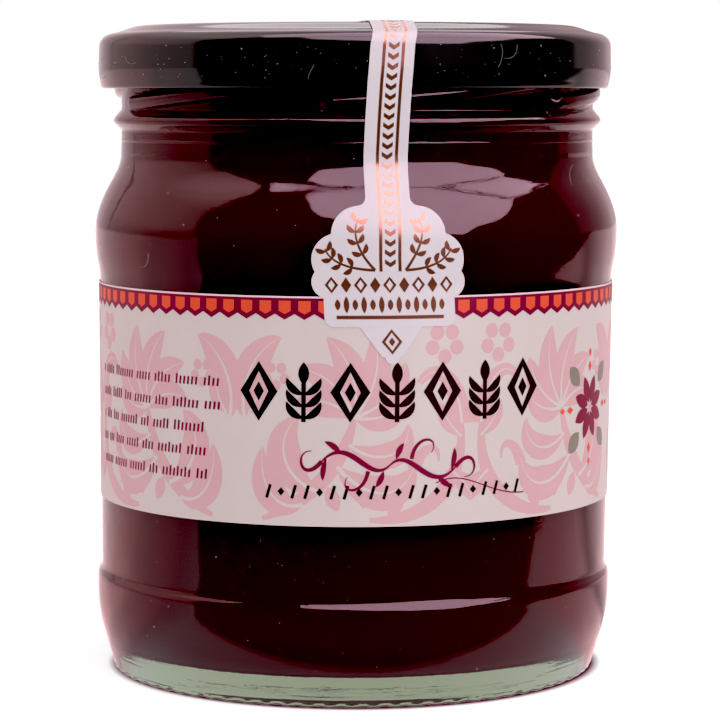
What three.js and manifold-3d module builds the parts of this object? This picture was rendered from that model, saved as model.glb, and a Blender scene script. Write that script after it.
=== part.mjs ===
// A twist-off glass jar of beetroot soup: jar, lid, soup, wrap label and paper seal.
// Millimetres, +Z up, origin at the middle of the foot. The front of the label faces -Y.
// Outlines are drawn as (radius, height) and turned about Z.

import * as THREE from 'three';
import { mergeVertices } from 'three/addons/utils/BufferGeometryUtils.js';
import Module from 'manifold-3d';

const wasm = await Module();
wasm.setup();

// ---------------------------------------------------------------- driving dimensions

const FACETS = 40; // flats round every turned piece
const FACET_EASE = 1 / Math.cos(Math.PI / FACETS); // from a flat's middle to its corner

// jar, outside
const RIM_Z = 105.1;
const FOOT_R = 39.7;
const FOOT_RING = 2.6; // width of the ring that the jar stands on
const PUSH_UP = 2.4; // how far the base is domed inwards
const DOME_FULLNESS = 0.75; // share of a dome's radius over which it stays near full height
const HEEL_R = 43.12;
const HEEL_Z = 14.8; // top of the heel's widest stretch
const HEEL_FLAT = 1.6; // height of that stretch
const PANEL_LOW_Z = 18.3;
const PANEL_LOW_R = 42.35;
const PANEL_HIGH_Z = 65.6;
const PANEL_HIGH_R = 42.8;
const SHOULDER_R = 43.6;
const SHOULDER_Z = 73.6;
const FLARE_R = 41.0; // where the shoulder's round turns into the neck's hollow
const FLARE_Z = 81.6;
const FLARE_LEAN = 34.8; // degrees from upright
const NECK_R = 39.4;
const NECK_Z = 86.5;
const BEAD_R = 40.5; // sharp ring under the screw ridges
const BEAD_Z = 91.3;
const BEAD_UNDERSIDE = 0.95; // its height below the tip
const BEAD_SLOPE = 2.2; // its height above the tip
const FOOT_LEAN = 21.8; // degrees from upright, where the heel leaves the foot
const FOOT_ROUND = 0.4;
const RIM_ROUND = 1.4;
const BORE_ROUND = 0.8;

// how far each curve keeps the direction that it starts or ends with
const EASE = { foot: 3, heel: 5, shoulder: 3.4, flareBelow: 2.8, flareAbove: 1.4, neck: 2.5 };
// the same for the two S curves beside the label panel, as shares of their height
const HEEL_S = [0.46, 0.46];
const SHOULDER_S = [0.2, 0.38];

// jar, inside
const WALL = 2.6;
const BORE_R = 36.7;
const BASE_GLASS = 3.6; // over the dome
const FLOOR_Z = 5.0; // at the foot of the wall
const FLOOR_ROUND = 7;
const INNER_LAG = { flare: 1.2, shoulder: 0.6, panel: 2 }; // the inside bends lower than the outside

// screw ridges on the neck
const RIDGES = 6;
const RIDGE_START = -66; // degrees from the front, to the right
const RIDGE_SWEEP = 72; // degrees
const RIDGE_LOW_Z = 94.5;
const RIDGE_LEAD = 0.045; // rise per degree at the low end
const RIDGE_STEEPENING = 0.0004; // rise per square degree
const RIDGE_HALF_HEIGHT = 1.0;
const RIDGE_DEPTH = 1.2;
const RIDGE_SIDES = 8;
const RIDGE_STEPS = 8;

// lid
const LID_R = 42.77;
const LID_SHEET = 0.45;
const LID_TOP_Z = 107.4;
const LID_DISH = 0.3; // how far the vacuum draws the middle down
const CROWN_R = 35.6; // edge of the raised middle
const CROWN_DROP = 0.1; // from the top to that edge
const RING_Z = 105.95; // the ring over the jar's rim
const RING_IN_R = 39.3;
const RING_OUT_R = 41.2;
const WALL_ROUND = 2.1; // height of the corner between ring and wall
const HEM_R = 42.4;
const HEM_Z = 96.9;
const HEM_CURL = 1.3; // across the rolled edge
const HEM_ROUND = 0.8;
const LUG_ANGLE = 1; // degrees from the front, to the right
const LUG_WIDTH = 6;
const LUG_IN_R = 39.95;
const LUG_HEIGHT = 0.65;
const LUG_LIFT = 0.1; // above the hem's lowest edge

// soup
const SOUP_Z = 98.6;
const SOUP_GAP = 0.3;

// label
const LABEL_LOW_Z = 29.15;
const LABEL_HIGH_Z = 65.0;
const PAPER = 0.14;
const PAPER_GAP = 0.06;
const LABEL_SLIT = 5.2; // bare glass between the label's two ends, at the back

// seal: a strip from the lid's top to a scalloped badge
const SEAL_ANGLE = 7.3; // degrees from the front, to the right
const STRIP_HALF = 3.45;
const STRIP_END_R = 15; // on the lid's top
const SEAL_NECK_GAP = PAPER_GAP * 2 + PAPER; // clears the label below
const TOUCH_Z = 86.8; // where the strip meets the neck
const BODY_HALF = 10.3;
const BODY_LOW_Z = 60.3;
const BODY_HIGH_Z = 66.5;
const BODY_CORNER = 1.5;
const POINTER_HALF = 4.6;
const POINTER_LOW_Z = 54.5;
const POINTER_ROUND = 1.1;
const OVERLAP = 0.3; // between the outline's parts, so that they join
const LOBES = [
  { across: 4.5, z: 74.5, r: 4.45 },
  { across: 7.9, z: 70.7, r: 4.1 },
  { across: 9.6, z: 67.2, r: 2.5 },
];

// ---------------------------------------------------------------- solids

const radians = THREE.MathUtils.degToRad;

// A closed body for joining and cutting, from a geometry whose seams are merged.
function toSolid(geometry) {
  const bare = geometry.clone();
  bare.deleteAttribute('normal');
  bare.deleteAttribute('uv');
  const merged = mergeVertices(bare, 1e-5);
  const corners = merged.index.array;
  const triangles = [];
  for (let i = 0; i < corners.length; i += 3) {
    const [a, b, c] = corners.subarray(i, i + 3);
    if (a !== b && b !== c && c !== a) {
      triangles.push(a, b, c);
    }
  }
  return new wasm.Manifold(new wasm.Mesh({
    numProp: 3,
    vertProperties: new Float32Array(merged.attributes.position.array),
    triVerts: new Uint32Array(triangles),
  }));
}

function toGeometry(solid) {
  const mesh = solid.getMesh();
  const geometry = new THREE.BufferGeometry();
  geometry.setAttribute('position', new THREE.BufferAttribute(mesh.vertProperties, 3));
  geometry.setIndex(new THREE.BufferAttribute(mesh.triVerts, 1));
  geometry.computeVertexNormals();
  return geometry;
}

// Turns an outline of (radius, height) points about Z; flats face the front.
function turned(points) {
  const eased = points.map((p) => new THREE.Vector2(p.x * FACET_EASE, p.y));
  const geometry = new THREE.LatheGeometry(eased, FACETS, Math.PI / FACETS);
  geometry.rotateX(Math.PI / 2);
  return toSolid(geometry);
}

// Extrudes a shape drawn as (across, height) towards the front, from one depth to another.
function extrudedForward(shape, from, to, curveSegments = 8) {
  const geometry = new THREE.ExtrudeGeometry(shape, {
    depth: to - from,
    bevelEnabled: false,
    curveSegments,
  });
  geometry.translate(0, 0, from);
  geometry.rotateX(Math.PI / 2);
  return toSolid(geometry);
}

function joined(solids) {
  return solids.reduce((whole, solid) => whole.add(solid));
}

// Points along curves laid end to end, each with its own number of steps.
function along(...pieces) {
  const points = [];
  for (const [curve, steps] of pieces) {
    for (const point of curve.getPoints(steps)) {
      const last = points.at(-1);
      if (!last || last.distanceTo(point) > 1e-6) {
        points.push(point);
      }
    }
  }
  return points;
}

const at = (r, z) => new THREE.Vector2(r, z);
const line = (a, b) => [new THREE.LineCurve(a, b), 1];
const bend = (a, through, b, steps) => [new THREE.QuadraticBezierCurve(a, through, b), steps];
const sweep = (a, c, d, b, steps) => [new THREE.CubicBezierCurve(a, c, d, b), steps];
const leaning = (degrees, length) => at(0, length).rotateAround(at(0, 0), -radians(degrees));

// An S between two upright stretches. It leaves the first and meets the second at these
// shares of its height.
function step(a, b, leave, meet, steps) {
  const rise = b.y - a.y;
  return sweep(a, at(a.x, a.y + rise * leave), at(b.x, a.y + rise * meet), b, steps);
}

// ---------------------------------------------------------------- jar

// The glass from the label panel's lower edge up to the neck, widened by a gap.
function bodyOutline(gap = 0) {
  const panelHigh = at(PANEL_HIGH_R + gap, PANEL_HIGH_Z);
  const shoulder = at(SHOULDER_R + gap, SHOULDER_Z);
  const flare = at(FLARE_R + gap, FLARE_Z);
  const neck = at(NECK_R + gap, NECK_Z);
  const shoulderPull = at(shoulder.x, shoulder.y + EASE.shoulder);
  const flareIn = flare.clone().sub(leaning(-FLARE_LEAN, EASE.flareBelow));
  const flareOut = flare.clone().add(leaning(-FLARE_LEAN, EASE.flareAbove));
  return [
    line(at(PANEL_LOW_R + gap, PANEL_LOW_Z), panelHigh),
    step(panelHigh, shoulder, ...SHOULDER_S, 4),
    sweep(shoulder, shoulderPull, flareIn, flare, 5),
    sweep(flare, flareOut, at(neck.x, neck.y - EASE.neck), neck, 4),
  ];
}

// From the middle of the domed base, over the ring that it stands on, to the panel.
function footOutline() {
  const ringIn = at(FOOT_R - FOOT_RING, 0);
  const ringOut = at(FOOT_R, 0);
  const edge = at(FOOT_R + FOOT_ROUND, FOOT_ROUND);
  const heel = at(HEEL_R, HEEL_Z - HEEL_FLAT);
  const heelTop = at(HEEL_R, HEEL_Z);
  const edgePull = edge.clone().add(leaning(FOOT_LEAN, EASE.foot));
  return [
    bend(at(0, PUSH_UP), at(ringIn.x * DOME_FULLNESS, PUSH_UP), ringIn, 4),
    line(ringIn, ringOut),
    bend(ringOut, at(edge.x, 0), edge, 2),
    sweep(edge, edgePull, at(HEEL_R, heel.y - EASE.heel), heel, 5),
    line(heel, heelTop),
    step(heelTop, at(PANEL_LOW_R, PANEL_LOW_Z), ...HEEL_S, 3),
  ];
}

// From the neck over the sharp ring to the rounded rim and into the bore.
function finishOutline() {
  const below = at(NECK_R, BEAD_Z - BEAD_UNDERSIDE);
  const tip = at(BEAD_R, BEAD_Z);
  const above = at(NECK_R, BEAD_Z + BEAD_SLOPE);
  const rimOut = at(NECK_R, RIM_Z - RIM_ROUND);
  const rimTop = at(NECK_R - RIM_ROUND, RIM_Z);
  const rimFlat = at(BORE_R + BORE_ROUND, RIM_Z);
  const bore = at(BORE_R, RIM_Z - BORE_ROUND);
  return [
    line(at(NECK_R, NECK_Z), below),
    bend(below, at(BEAD_R, below.y), tip, 2),
    bend(tip, at(NECK_R, BEAD_Z + BEAD_SLOPE / 2), above, 2),
    line(above, rimOut),
    bend(rimOut, at(NECK_R, RIM_Z), rimTop, 2),
    line(rimTop, rimFlat),
    bend(rimFlat, at(BORE_R, RIM_Z), bore, 2),
  ];
}

// The hollow of the jar from a height down to the middle of its floor, drawn in by a gap.
function hollowOutline(top, gap = 0) {
  const neck = at(BORE_R - gap, NECK_Z);
  const flare = at(FLARE_R - WALL - gap, FLARE_Z - INNER_LAG.flare);
  const shoulder = at(SHOULDER_R - WALL - gap, SHOULDER_Z - INNER_LAG.shoulder);
  const wallHigh = at(PANEL_HIGH_R - WALL - gap, PANEL_HIGH_Z - INNER_LAG.panel);
  const wallLow = at(PANEL_LOW_R - WALL - gap, FLOOR_Z + FLOOR_ROUND + gap);
  const floorEdge = at(wallLow.x - FLOOR_ROUND, FLOOR_Z + gap);
  const middle = at(0, PUSH_UP + BASE_GLASS + gap);
  return [
    line(at(BORE_R - gap, top), neck),
    bend(neck, at(neck.x, flare.y + EASE.neck), flare, 2),
    bend(flare, at(shoulder.x, shoulder.y + EASE.shoulder), shoulder, 3),
    line(shoulder, wallHigh),
    line(wallHigh, wallLow),
    bend(wallLow, at(wallLow.x, floorEdge.y), floorEdge, 4),
    bend(floorEdge, at(floorEdge.x * DOME_FULLNESS, middle.y), middle, 2),
  ];
}

// The middle line of one screw ridge: it climbs to the right, more steeply as it goes.
class RidgeLine extends THREE.Curve {
  constructor(start) {
    super();
    this.start = start;
  }

  getPoint(t, target = new THREE.Vector3()) {
    const turn = RIDGE_SWEEP * t;
    const angle = radians(this.start + turn);
    const z = RIDGE_LOW_Z + RIDGE_LEAD * turn + RIDGE_STEEPENING * turn * turn;
    return target.set(NECK_R * Math.sin(angle), -NECK_R * Math.cos(angle), z);
  }
}

function ridge(start) {
  const section = new THREE.Shape();
  section.absellipse(0, 0, RIDGE_HALF_HEIGHT, RIDGE_DEPTH, 0, Math.PI * 2, false, 0);
  return toSolid(new THREE.ExtrudeGeometry(section, {
    steps: RIDGE_STEPS,
    curveSegments: RIDGE_SIDES / 2,
    extrudePath: new RidgeLine(start),
  }));
}

function jarSolid() {
  const rimBore = RIM_Z - BORE_ROUND;
  const outside = [...footOutline(), ...bodyOutline(), ...finishOutline()];
  const glass = turned(along(...outside, ...hollowOutline(rimBore)));
  const ridges = Array.from({ length: RIDGES }, (_, i) => ridge(RIDGE_START + (360 / RIDGES) * i));
  const bore = turned([at(0, NECK_Z), at(BORE_R, NECK_Z), at(BORE_R, RIM_Z), at(0, RIM_Z)]);
  return joined([glass, ...ridges.map((solid) => solid.subtract(bore))]);
}

// ---------------------------------------------------------------- soup

function soupSolid() {
  const surface = line(at(0, SOUP_Z), at(BORE_R - SOUP_GAP, SOUP_Z));
  return turned(along(surface, ...hollowOutline(SOUP_Z, SOUP_GAP)).reverse());
}

// ---------------------------------------------------------------- lid

// The lid's face from the middle of its top to the bottom of its wall, moved out by a gap.
function lidFace(gap = 0) {
  const top = LID_TOP_Z + gap;
  const crown = at(CROWN_R, top - CROWN_DROP);
  const ringIn = at(RING_IN_R + gap, RING_Z + gap);
  const ringOut = at(RING_OUT_R, RING_Z + gap);
  const wallTop = at(LID_R + gap, RING_Z - WALL_ROUND);
  const crownPull = at((CROWN_R + RING_IN_R) / 2 + gap, crown.y - CROWN_DROP);
  return [
    bend(at(0, top - LID_DISH), at(CROWN_R * DOME_FULLNESS, top), crown, 3),
    bend(crown, crownPull, ringIn, 2),
    line(ringIn, ringOut),
    bend(ringOut, at(wallTop.x, ringOut.y), wallTop, 3),
    line(wallTop, at(HEM_R + gap, HEM_Z + HEM_ROUND)),
  ];
}

function lidSolid() {
  const inner = -LID_SHEET;
  const wallFoot = at(HEM_R, HEM_Z + HEM_ROUND);
  const hemBottom = at(HEM_R - HEM_CURL / 2, HEM_Z);
  const hemIn = at(HEM_R - HEM_CURL, HEM_Z + HEM_ROUND);
  const hemTop = at(HEM_R + inner, hemIn.y + HEM_CURL + inner);
  const curl = [
    bend(wallFoot, at(HEM_R, HEM_Z), hemBottom, 2),
    bend(hemBottom, at(hemIn.x, HEM_Z), hemIn, 2),
    line(hemIn, hemTop),
  ];
  const insidePoints = along(...lidFace(inner)).slice(0, -1).reverse();
  const outline = [...along(...lidFace(), ...curl), ...insidePoints];
  return joined([turned(outline.reverse()), ...lugs()]);
}

function lugs() {
  const depth = HEM_R - HEM_CURL / 2 - LUG_IN_R;
  return Array.from({ length: RIDGES }, (_, i) => {
    const lug = new THREE.BoxGeometry(LUG_WIDTH, depth, LUG_HEIGHT);
    lug.translate(0, -LUG_IN_R - depth / 2, HEM_Z + LUG_LIFT + LUG_HEIGHT / 2);
    lug.rotateZ(radians(LUG_ANGLE + (360 / RIDGES) * i));
    return toSolid(lug);
  });
}

// ---------------------------------------------------------------- label

function panelRadius(z) {
  const share = (z - PANEL_LOW_Z) / (PANEL_HIGH_Z - PANEL_LOW_Z);
  return THREE.MathUtils.lerp(PANEL_LOW_R, PANEL_HIGH_R, share);
}

function labelSolid() {
  const inLow = at(panelRadius(LABEL_LOW_Z) + PAPER_GAP, LABEL_LOW_Z);
  const inHigh = at(panelRadius(LABEL_HIGH_Z) + PAPER_GAP, LABEL_HIGH_Z);
  const outHigh = at(inHigh.x + PAPER, LABEL_HIGH_Z);
  const outLow = at(inLow.x + PAPER, LABEL_LOW_Z);
  const sleeve = turned([inLow, outLow, outHigh, inHigh, inLow]);
  const slit = new THREE.BoxGeometry(LABEL_SLIT, SHOULDER_R, LABEL_HIGH_Z);
  slit.translate(0, SHOULDER_R, (LABEL_LOW_Z + LABEL_HIGH_Z) / 2);
  return sleeve.subtract(toSolid(slit));
}

// ---------------------------------------------------------------- seal

// The paper's inner face from the lid's top, over the hem, across to the neck and down.
function sealPath() {
  const lid = along(...lidFace(PAPER_GAP));
  const hem = at(HEM_R - HEM_ROUND / 4, HEM_Z - PAPER_GAP);
  const touch = at(NECK_R + SEAL_NECK_GAP, TOUCH_Z);
  const body = along(...bodyOutline(SEAL_NECK_GAP)).reverse();
  const belowTouch = body.filter((p) => p.y < NECK_Z && p.y >= PANEL_HIGH_Z);
  const footZ = POINTER_LOW_Z - 1;
  const foot = at(panelRadius(footZ) + SEAL_NECK_GAP, footZ);
  const onLid = lid.filter((p, i) => i === lid.length - 1 || lid[i + 1].x > STRIP_END_R);
  return [...onLid, hem, touch, ...belowTouch, foot];
}

// A band of paper thickness outside an open path, as a closed outline.
function thickened(path, thickness) {
  const outer = path.map((p, i) => {
    const before = path[Math.max(i - 1, 0)];
    const after = path[Math.min(i + 1, path.length - 1)];
    const run = after.clone().sub(before).normalize();
    return at(p.x - run.y * thickness, p.y + run.x * thickness);
  });
  return [...path, ...outer.reverse(), path[0]];
}

function circle(across, z, r) {
  const shape = new THREE.Shape();
  shape.absarc(across, z, r, 0, Math.PI * 2, false);
  return shape;
}

function rectangle(half, low, high, corner) {
  const shape = new THREE.Shape();
  shape.moveTo(-half, high);
  shape.lineTo(-half, low + corner);
  shape.quadraticCurveTo(-half, low, -half + corner, low);
  shape.lineTo(half - corner, low);
  shape.quadraticCurveTo(half, low, half, low + corner);
  shape.lineTo(half, high);
  return shape;
}

function pointer() {
  const shape = new THREE.Shape();
  shape.moveTo(-POINTER_HALF, BODY_LOW_Z + OVERLAP);
  shape.lineTo(-POINTER_ROUND, POINTER_LOW_Z + POINTER_ROUND);
  shape.quadraticCurveTo(0, POINTER_LOW_Z - POINTER_ROUND, POINTER_ROUND, POINTER_LOW_Z + POINTER_ROUND);
  shape.lineTo(POINTER_HALF, BODY_LOW_Z + OVERLAP);
  return shape;
}

// The seal's outline seen from straight in front of it.
function sealOutline() {
  const depth = [STRIP_END_R, SHOULDER_R + 1];
  const [upper, middle] = LOBES;
  const strip = rectangle(STRIP_HALF, BODY_LOW_Z + BODY_CORNER, LID_TOP_Z + 1, OVERLAP);
  const body = rectangle(BODY_HALF, BODY_LOW_Z, BODY_HIGH_Z, BODY_CORNER);
  const core = rectangle(middle.across, BODY_LOW_Z + BODY_CORNER, upper.z, OVERLAP);
  const pieces = [strip, body, core, pointer()];
  for (const { across, z, r } of LOBES) {
    pieces.push(circle(across, z, r), circle(-across, z, r));
  }
  return joined(pieces.map((shape) => extrudedForward(shape, ...depth)));
}

function sealSolid() {
  const shell = turned(thickened(sealPath(), PAPER));
  return shell.intersect(sealOutline().rotate([0, 0, SEAL_ANGLE]));
}

// ---------------------------------------------------------------- the whole

function finish(color, roughness, metalness, more = {}) {
  return new THREE.MeshStandardMaterial({ color, roughness, metalness, ...more });
}

function piece(name, solid, material) {
  const mesh = new THREE.Mesh(toGeometry(solid), material);
  mesh.name = name;
  return mesh;
}

const glassFinish = finish(0xe6ece4, 0.05, 0, { transparent: true, opacity: 0.3 });
const lacquerFinish = finish(0x0b0a0c, 0.22, 0.1);
const soupFinish = finish(0x2a0510, 0.15, 0);
const paperFinish = finish(0xd9ccc9, 0.8, 0);
const sealFinish = finish(0xe9e3e8, 0.7, 0);

const group = new THREE.Group();
group.add(
  piece('jar', jarSolid(), glassFinish),
  piece('lid', lidSolid(), lacquerFinish),
  piece('borscht', soupSolid(), soupFinish),
  piece('label', labelSolid(), paperFinish),
  piece('seal', sealSolid(), sealFinish),
);

export default group;
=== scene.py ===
"""Looks of a twist-off glass jar of beetroot soup, with its lid, wrap label and paper seal.

Shapes are drawn in millimetres and scaled to metres when a piece is finished.
The front of the label faces -Y, and angles are degrees from the front, to the right.
"""

import bisect
import math
import random

import bmesh
import bpy
from mathutils import Matrix, Vector, noise


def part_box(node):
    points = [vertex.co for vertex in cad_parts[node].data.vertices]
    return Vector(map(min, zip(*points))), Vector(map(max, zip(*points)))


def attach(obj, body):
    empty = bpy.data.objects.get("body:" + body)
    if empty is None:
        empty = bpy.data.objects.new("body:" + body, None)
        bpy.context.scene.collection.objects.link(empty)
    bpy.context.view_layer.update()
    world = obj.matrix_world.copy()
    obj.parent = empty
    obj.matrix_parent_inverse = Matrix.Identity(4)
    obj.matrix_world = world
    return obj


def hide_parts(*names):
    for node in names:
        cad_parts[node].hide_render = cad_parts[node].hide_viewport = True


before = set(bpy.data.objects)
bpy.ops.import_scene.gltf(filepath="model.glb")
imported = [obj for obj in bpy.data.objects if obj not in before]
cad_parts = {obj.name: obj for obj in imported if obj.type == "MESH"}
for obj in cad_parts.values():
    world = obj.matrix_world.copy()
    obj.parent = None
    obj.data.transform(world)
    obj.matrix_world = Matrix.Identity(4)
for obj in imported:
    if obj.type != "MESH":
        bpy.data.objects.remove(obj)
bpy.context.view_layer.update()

MM = 0.001


def low(node):
    """Height of a node's lowest point, in millimetres."""
    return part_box(node)[0].z / MM


def high(node):
    """Height of a node's highest point, in millimetres."""
    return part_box(node)[1].z / MM


# ---------------------------------------------------------------- driving dimensions

TURN_STEPS = 370  # round every turned piece, five for each knurl
LEAN = 0.0085  # to the right, as a share of the height
LEAN_FROM_Z = 31  # height that stays in place
LID_ASIDE = -0.45  # the lid sits a little off the neck's middle

# jar, outside
RIM_Z = high("jar")
FOOT_R = 40.05
FOOT_RING = 2.6
FOOT_ROUND = 0.6
PUSH_UP = 0.9
DOME_FULLNESS = 0.75
FLANK_LOW_Z = 0.8  # the straight flank of the foot, which leans out
FLANK_HIGH_R = 41.8
FLANK_HIGH_Z = 4.9
HEEL_R = 43.25
HEEL_Z = 15.3
HEEL_FLAT = 1.6
PANEL_LOW_Z = 17.9
PANEL_LOW_R = 42.55
PANEL_HIGH_Z = 65.6
PANEL_HIGH_R = 42.95
SHOULDER_R = 43.75
SHOULDER_Z = 73.6
FLARE_R = 41.04
FLARE_Z = 81.65
NECK_R = 39.4
NECK_Z = 86.5
SEAM_Z = 88.4  # fine ring left by the mould
SEAM_HEIGHT = 0.07
SEAM_HALF = 0.22
BEAD_LOW_Z = 90.05  # sharp ring under the lid
BEAD_FOOT = 0.2  # its corner with the neck below
BEAD_TOP_Z = 93.35
BEAD_NOSE = ((40.5, 91.1), (40.8, 91.45), (40.72, 91.95), (40.35, 92.35))
NECK_SWELL = 0.08  # slight swelling of the neck below this height
NECK_SWELL_Z = 88.0
RIM_ROUND = 1.4
# controls of the bends between these, as radius and height
HEEL_RISE = ((42.4, 6.9), (HEEL_R, 9.3))
HEEL_STEP = ((HEEL_R, 16.8), (PANEL_LOW_R, 16.35))
SHOULDER_RISE = ((PANEL_HIGH_R, 67.2), (SHOULDER_R, 68.6))
SHOULDER_FALL = ((SHOULDER_R, 76.95), (41.57, 80.72))
NECK_RISE = ((40.63, 82.37), (NECK_R + NECK_SWELL, 84.38))

# jar, inside
WALL = 2.6
BORE_R = 36.7
BORE_ROUND = 0.8
BASE_GLASS = 4.4
FLOOR_Z = 5.1
FLOOR_ROUND = 5.5
FLOOR_FULLNESS = 0.6
FLARE_DROP = 1.2  # how much lower than outside the flare, the shoulder and the panel end
SHOULDER_DROP = 0.6
PANEL_DROP = 2
FLARE_BEND = 2.6
SHOULDER_BEND = 4.4

# screw ridges on the neck
RIDGES = 6
RIDGE_START = -66
RIDGE_SWEEP = 72
RIDGE_LOW_Z = 94.5
RIDGE_LEAD = 0.045
RIDGE_STEEPENING = 0.0004
RIDGE_HALF_HEIGHT = 1.5
RIDGE_DEPTH = 1.2
RIDGE_TOP_Z = 101.2

# knurls under the foot
KNURLS = 74
KNURL_LIFT = 0.26
KNURL_BAND = 2.2
KNURL_WEAR = 0.5  # share by which the lift varies round the jar

# cold wrinkles in the foot's flank: height, depth and half height of each
CREASES = ((1.2, 0.022, 0.16), (2.15, 0.012, 0.14), (2.9, 0.02, 0.13), (3.6, 0.007, 0.2))

# lid
LID_R = 42.77
LID_SHEET = 0.45
LID_TOP_Z = high("lid")
LID_DISH = 0.3
CROWN_R = 35.6
CROWN_DROP = 0.1
RING_Z = 105.95
RING_R = 40.6
LID_SHOULDER_Z = 103.7
LID_TUCK_Z = 100.2  # below this the wall draws in to the hem
LID_WALL_LEAN = 0.08  # the wall draws in a little towards the top too
HEM_Z = low("lid")
HEM_R = 42.4
HEM_CURL = 1.3
HEM_ROUND = 0.8
HEM_INSIDE = 1.9  # height of the curl on its inside

# soup
SOUP_Z = high("borscht")
SOUP_REACH = 0.1  # how far the soup goes into the glass, so that no air shows

# label
LABEL_LOW_Z = low("label")
LABEL_HIGH_Z = high("label")
LABEL_SLIT = 5.2
PAPER = 0.14
PAPER_GAP = 0.02
LABEL_FACE = PAPER_GAP + PAPER  # how far the printed face stands off the glass

# seal: a strip from the lid's top to a scalloped badge, known by its lateral and its height
STRIP_HALF = 3.45
STRIP_END_R = 15
SEAL_GAP = 0.03
SEAL_LID_GAP = 0.04
TOUCH_Z = 86.8  # where the strip meets the neck
LABEL_EDGE_FALL = 3  # height over which the seal comes down from the label to the glass
SEAL_FINE_Z = 81.5  # the badge's edge is drawn finely below this
LOBES = ((4.5, 74.5, 4.45), (7.9, 70.7, 4.1), (9.6, 67.2, 2.5))  # across, height, radius
FILLET = 1.5  # where the strip meets the uppermost lobes
FILLET_Z = 80.4
BADGE_HALF = 10.3
BADGE_LOW_Z = 60.3
BADGE_HIGH_Z = 66.5
BADGE_CORNER = 1.5
POINTER_HALF = 4.85
POINTER_LOW_Z = 54.5
POINTER_ROUND = 1.1
SEAL_FINE_STEPS = 230
SEAL_STEPS = 150
SEAL_COLUMNS = 16
CORNER_WIDTH = 0.003  # how sharp the badge's lower corners are
# the seal isn't stuck on quite straight: the angle of its middle at some heights
SEAL_WAY = (
    (54.5, 7.87), (60.3, 7.45), (67.0, 7.0), (71.0, 6.72), (80.4, 6.62),
    (86.8, 6.55), (91.8, 6.61), (98.0, 6.8), (103.7, 7.3), (106.5, 8.17),
)


# ---------------------------------------------------------------- making shapes


def bezier(controls, t):
    """The point at share t of a Bezier curve with any number of control points."""
    while len(controls) > 1:
        controls = [a.lerp(b, t) for a, b in zip(controls, controls[1:])]
    return controls[0]


class Outline:
    """An outline of (radius, height) points, laid down curve by curve."""

    def __init__(self, r, z):
        self.points = [Vector((r, z))]

    def line(self, r, z, steps=1):
        """Goes straight on, with a short first and last step on a long stretch to keep it straight."""
        start, end = self.points[-1], Vector((r, z))
        hold = 0.1 / max((end - start).length, 0.3)
        shares = [hold] + [i / steps for i in range(1, steps)] + [1 - hold, 1]
        self.points += [start.lerp(end, share) for share in shares]
        return self

    def curve(self, *controls, steps=8):
        """Goes on from the last point along a Bezier curve, whose last control is its end."""
        whole = [self.points[-1]] + [Vector(c) for c in controls]
        self.points += [bezier(whole, i / steps) for i in range(1, steps + 1)]
        return self


def turned(outline):
    """Turns an outline about Z into a shell with its faces pointing out."""
    bm = bmesh.new()
    verts = [bm.verts.new((0, -p.x, p.y)) for p in outline.points]
    edges = [bm.edges.new(pair) for pair in zip(verts, verts[1:])]
    bmesh.ops.spin(
        bm,
        geom=verts + edges,
        axis=(0, 0, 1),
        cent=(0, 0, 0),
        angle=math.tau,
        steps=TURN_STEPS,
        use_merge=True,
    )
    bmesh.ops.remove_doubles(bm, verts=bm.verts, dist=0.001)
    bmesh.ops.recalc_face_normals(bm, faces=bm.faces)
    return bm


def lean_over(bm, aside):
    """The blown jar leans a little to the right; a piece on it goes with it, or aside by some more."""
    for vert in bm.verts:
        vert.co.x += LEAN * (vert.co.z - LEAN_FROM_Z) + aside


def new_object(name, data):
    """An object in the scene, made of a mesh, a light or a camera."""
    made = bpy.data.objects.new(name, data)
    bpy.context.scene.collection.objects.link(made)
    return made


def mesh_object(bm, name, finish):
    """An object of one finish, made of a drawn shape, which it uses up."""
    mesh = bpy.data.meshes.new(name)
    bm.to_mesh(mesh)
    bm.free()
    mesh.materials.append(finish)
    return new_object(name, mesh)


def make_piece(bm, name, finish, slot=None, stands_for=None, sharp=50, aside=0.0):
    """Leans a drawn shape, scales it to metres and hands it over as a smooth-shaded piece."""
    lean_over(bm, aside)
    bmesh.ops.scale(bm, vec=(MM, MM, MM), verts=bm.verts)
    piece = mesh_object(bm, name, finish)
    piece.data.shade_smooth()
    piece.data.set_sharp_from_angle(angle=math.radians(sharp))
    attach(piece, "root")
    if stands_for:
        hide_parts(stands_for)
    return piece


def smooth_step(x):
    """Goes from 0 to 1 as x does, with a level start and end."""
    x = min(max(x, 0.0), 1.0)
    return x * x * (3 - 2 * x)


# ---------------------------------------------------------------- jar


def body_outline(outline):
    """Goes on from the label panel's lower edge over the shoulder to the neck."""
    outline.line(PANEL_HIGH_R, PANEL_HIGH_Z, steps=4)
    outline.curve(*SHOULDER_RISE, (SHOULDER_R, SHOULDER_Z), steps=14)
    outline.curve(*SHOULDER_FALL, (FLARE_R, FLARE_Z), steps=20)
    low_neck = NECK_R + NECK_SWELL
    outline.curve(*NECK_RISE, (low_neck, NECK_Z - 0.75), steps=16)
    outline.line(low_neck, NECK_Z)
    outline.line(NECK_R, NECK_SWELL_Z, steps=2)
    return outline


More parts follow.
